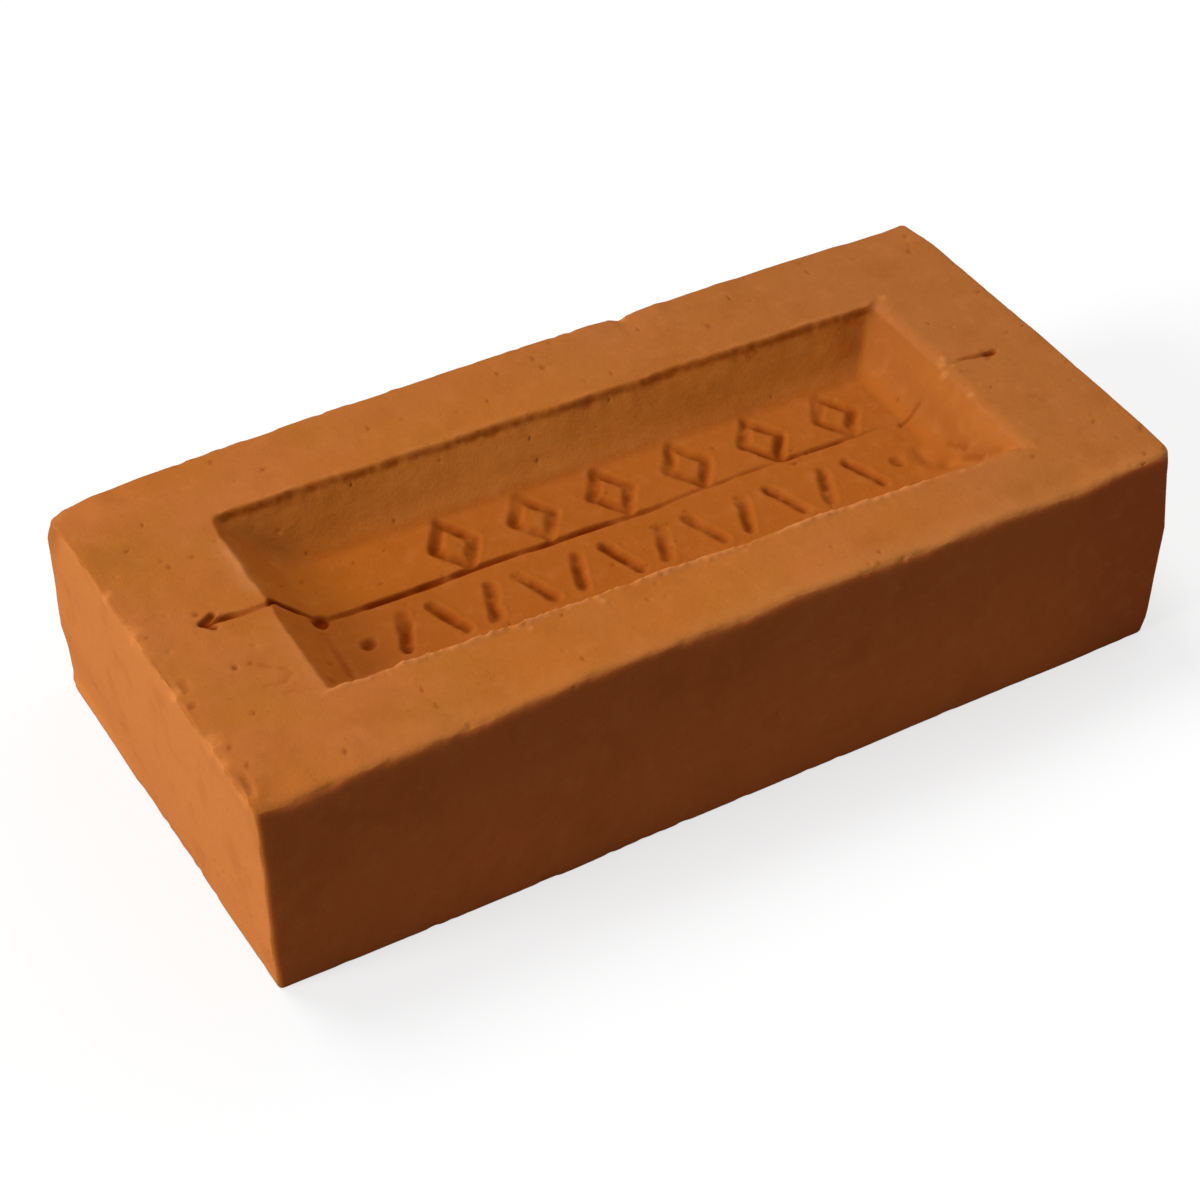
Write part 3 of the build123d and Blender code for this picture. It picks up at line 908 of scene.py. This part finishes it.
def makeBrick():
    # The surface is bowed, then worn along its normals, and none of it goes under the floor's level, 0
    points, faces, masks, topCount = bodySurface()
    closeness = arrisCloseness(points)
    masks.update(faceMasks(points))
    points = bowed(points)
    mesh = bpy.data.meshes.new("brickClay")
    mesh.from_pydata((points * mm).tolist(), [], faces)
    normals = np.zeros(len(points) * 3, np.float32)
    mesh.vertex_normals.foreach_get("vector", normals)

    # Each point's share of the surface, so that the pits are scattered evenly over the top
    areas = np.zeros(len(mesh.polygons))
    mesh.polygons.foreach_get("area", areas)
    sizes = np.zeros(len(mesh.polygons), int)
    mesh.polygons.foreach_get("loop_total", sizes)
    corners = np.zeros(len(mesh.loops), int)
    mesh.loops.foreach_get("vertex_index", corners)
    spread = np.bincount(corners, np.repeat(areas, sizes), len(points))
    spread[topCount:] = 0

    normals = normals.reshape(-1, 3).astype(float)
    points, masks["broken"], pitted = worn(points, normals, spread, closeness, topCount)
    # painted shade in the pits
    masks["stamped"] = np.maximum(masks["stamped"], wear["pitTint"] * pitted)
    points[:, 2] = np.maximum(points[:, 2], 0)
    mesh.vertices.foreach_set("co", (points * mm).ravel())
    for name, values in masks.items():
        mesh.attributes.new(name, "FLOAT", "POINT").data.foreach_set("value", values)
    mesh.polygons.foreach_set("use_smooth", np.ones(len(mesh.polygons), bool))
    mesh.update()
    piece = addObject("brickClay", mesh)
    mesh.calc_loop_triangles()
    print("brick:", len(points), "points,", len(mesh.loop_triangles), "triangles")
    return piece


# Fired clay

clay = {
    # sRGB colours, 0 to 255
    "colours": {
        "body": (178, 102, 40),
        "rosy": (185, 108, 55),
        "ochre": (174, 104, 39),
        "dim": (162, 96, 46),  # towards the right and the back: painted shade where the light falls off
        # floor to farLight: tones of the frog's floor and walls, partly the clay's own and partly painted
        # light and shade, lighter or darker by how the light falls on each
        "floor": (165, 87, 26),
        "floorLeft": (174, 94, 26),
        "leftWall": (173, 93, 27),
        "rightWall": (155, 86, 33),
        "rightLip": (172, 97, 38),
        "farWall": (174, 99, 33),
        "farLight": (192, 115, 44),
        # deep: darker clay in patches and spots, and also the painted shade in the frog's corners
        "deep": (138, 63, 8),
        # painted shade for the recesses of the marks, nicks and pits, and under the far lip
        "stamp": (128, 53, 2),
        # line: painted shade in the line's groove
        "line": (124, 44, 0),
        "fresh": (204, 127, 70),
        # pale: the painted highlight on the frog's left lip
        "pale": (188, 118, 64),
        "sill": (186, 118, 60),
        # end, front and frontRight: tones of those faces, partly the clay's own and partly painted light and
        # shade, by how the light falls on each
        "end": (212, 128, 66),
        "front": (175, 89, 41),
        # painted light low on the front, against the shade near the floor
        "frontLow": (198, 102, 48),
        "frontRight": (170, 82, 38),
    },
    # tints over the body's colour, one after the other: colour, share, and where. That is one of the
    # surface's masks, or patches (scale, middle, width, shift), or spots (scale, share, radius)
    "tints": [
        ("rosy", 0.6, ("patches", 24, 0.52, 0.14, 0.0)),
        ("ochre", 0.6, ("patches", 40, 0.56, 0.12, 1.3)),
        # painted shade where the light falls off towards the right and the back
        ("dim", 0.75, "dim"),
        # partly painted light and shade: each face and wall lighter or darker by how the light falls on it,
        # over the clay's own tone
        *[(name, 0.9, name) for name in ("end", "front", "frontLow", "frontRight", "floor", "floorLeft",
                                         "leftWall", "rightWall", "rightLip", "farWall", "farLight")],
        # painted shade in the frog's corners
        ("deep", 0.4, "cornerDeep"),
        # painted highlight on the frog's left lip
        ("pale", 0.8, "pale"),
        ("deep", 0.14, ("patches", 85, 0.60, 0.10, 2.1)),
        ("fresh", 0.12, ("patches", 230, 0.60, 0.12, 4.7)),
        # painted shadow under the far lip
        ("stamp", 0.85, "drip"),
        ("sill", 0.45, "sill"),
        ("fresh", 0.4, "broken"),
        ("fresh", 0.7, "burr"),
        # painted shade in the recesses, darker with their depth
        ("stamp", 0.78, "stamped"),
        # painted shade in the line's groove, darker with its depth
        ("line", 0.95, "ruled"),
        ("deep", 0.3, ("spots", 700, 0.12, 0.32)),
        ("fresh", 0.3, ("spots", 900, 0.10, 0.30)),
    ],
    "roughness": (0.84, 0.96),  # lowest and highest, in patches
    "roughPatches": (60, 0.5, 0.2, 3.0),
    "gloss": 0.03,
    # relief: noise scale, detail and roughness, then its height. Small pits are spots
    "sand": (1500.0, 3.0, 0.7, 0.5),
    "lumps": (320.0, 3.0, 0.6, 0.9),
    "pits": (260, 0.10, 0.30, 1.0),
    "bumpStrength": 0.6,
    "bumpHeight": 0.3,
}


def linear(colour):
    # From sRGB, 0 to 255, to the linear values that a socket takes
    share = np.array(colour) / 255
    return (*np.where(share < 0.04045, share / 12.92, ((share + 0.055) / 1.055) ** 2.4), 1)


def startGroup(name, numbers):
    # A node group that takes a vector and the named numbers, and gives a mask
    group = bpy.data.node_groups.new(name, "ShaderNodeTree")
    group.interface.new_socket("Vector", in_out="INPUT", socket_type="NodeSocketVector")
    for number in numbers:
        group.interface.new_socket(number, in_out="INPUT", socket_type="NodeSocketFloat")
    group.interface.new_socket("Mask", in_out="OUTPUT", socket_type="NodeSocketFloat")
    make = Nodes(group)
    return make, make.tree.nodes.new("NodeGroupInput").outputs


def finishGroup(make, mask):
    # The group gives what the socket gives
    make.tree.links.new(mask, make.tree.nodes.new("NodeGroupOutput").inputs["Mask"])
    return make.tree


def makeCloud():
    # Patches: fractal noise, cut to a soft mask round a middle level
    make, given = startGroup("cloud", ("Scale", "Middle", "Width"))
    noise = make.add("TexNoise", {"Vector": given["Vector"], "Scale": given["Scale"], "Detail": 4.0,
                                  "Roughness": 0.55}).outputs["Fac"]
    low = make.math("SUBTRACT", given["Middle"], given["Width"])
    high = make.math("ADD", given["Middle"], given["Width"])
    return finishGroup(make, make.remap(noise, low, high))


def makeGrains():
    # Scattered grains: cells of a Voronoi pattern, of which a share is kept, each a small round spot
    make, given = startGroup("grains", ("Scale", "Share", "Radius"))
    cells = make.add("TexVoronoi", {"Vector": given["Vector"], "Scale": given["Scale"], "Randomness": 1.0})
    chance = make.add("SeparateColor", {"Color": cells.outputs["Color"]}).outputs[0]
    kept = make.math("LESS_THAN", chance, given["Share"])
    spot = make.remap(cells.outputs["Distance"], given["Radius"], 0.0)
    return finishGroup(make, make.math("MULTIPLY", kept, spot))


def makeClay():
    # The colour is the body's, blended with each tint in turn by its mask times its share. The relief
    # is the sum of the sand and the lumps, each times its height, less the small pits.
    cloud, grains = makeCloud(), makeGrains()
    material = bpy.data.materials.new("firedClay")
    material.use_nodes = True
    make = Nodes(material.node_tree)
    shader = make.tree.nodes["Principled BSDF"]
    where = make.add("TexCoord").outputs["Object"]

    def patches(scale, middle, width, shift):
        # The cloud, moved so that no two of its uses lie alike
        place = make.add("Mapping", {"Vector": where, "Location": (shift, shift * 0.7, -shift)}).outputs[0]
        return make.add("Group", {"Vector": place, "Scale": scale, "Middle": middle, "Width": width},
                        node_tree=cloud).outputs["Mask"]

    def spots(scale, share, radius):
        return make.add("Group", {"Vector": where, "Scale": scale, "Share": share, "Radius": radius},
                        node_tree=grains).outputs["Mask"]

    def relief(scale, detail, roughness, height):
        # Noise from 0 to its height
        noise = make.add("TexNoise", {"Vector": where, "Scale": scale, "Detail": detail,
                                      "Roughness": roughness}).outputs["Fac"]
        return make.math("MULTIPLY", noise, height)

    patterns = {"patches": patches, "spots": spots}
    colour = linear(clay["colours"]["body"])
    for name, share, place in clay["tints"]:
        mask = make.attribute(place) if isinstance(place, str) else patterns[place[0]](*place[1:])
        factor = make.math("MULTIPLY", mask, share, clamp=True)
        colour = make.blend(factor, colour, linear(clay["colours"][name]))
    make.tree.links.new(colour, shader.inputs["Base Color"])

    roughness = make.remap(patches(*clay["roughPatches"]), 0, 1, *clay["roughness"])
    make.tree.links.new(roughness, shader.inputs["Roughness"])
    shader.inputs["Specular IOR Level"].default_value = clay["gloss"]

    *pattern, depth = clay["pits"]
    height = make.math("ADD", relief(*clay["sand"]), relief(*clay["lumps"]))
    height = make.math("SUBTRACT", height, make.math("MULTIPLY", spots(*pattern), depth))
    bump = make.add("Bump", {"Height": height, "Strength": clay["bumpStrength"],
                             "Distance": clay["bumpHeight"] * mm})
    make.tree.links.new(bump.outputs["Normal"], shader.inputs["Normal"])
    return material


brick = makeBrick()
brick.data.materials.append(makeClay())
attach(brick, "root")
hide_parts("brick")
print("brick finished in fired clay")
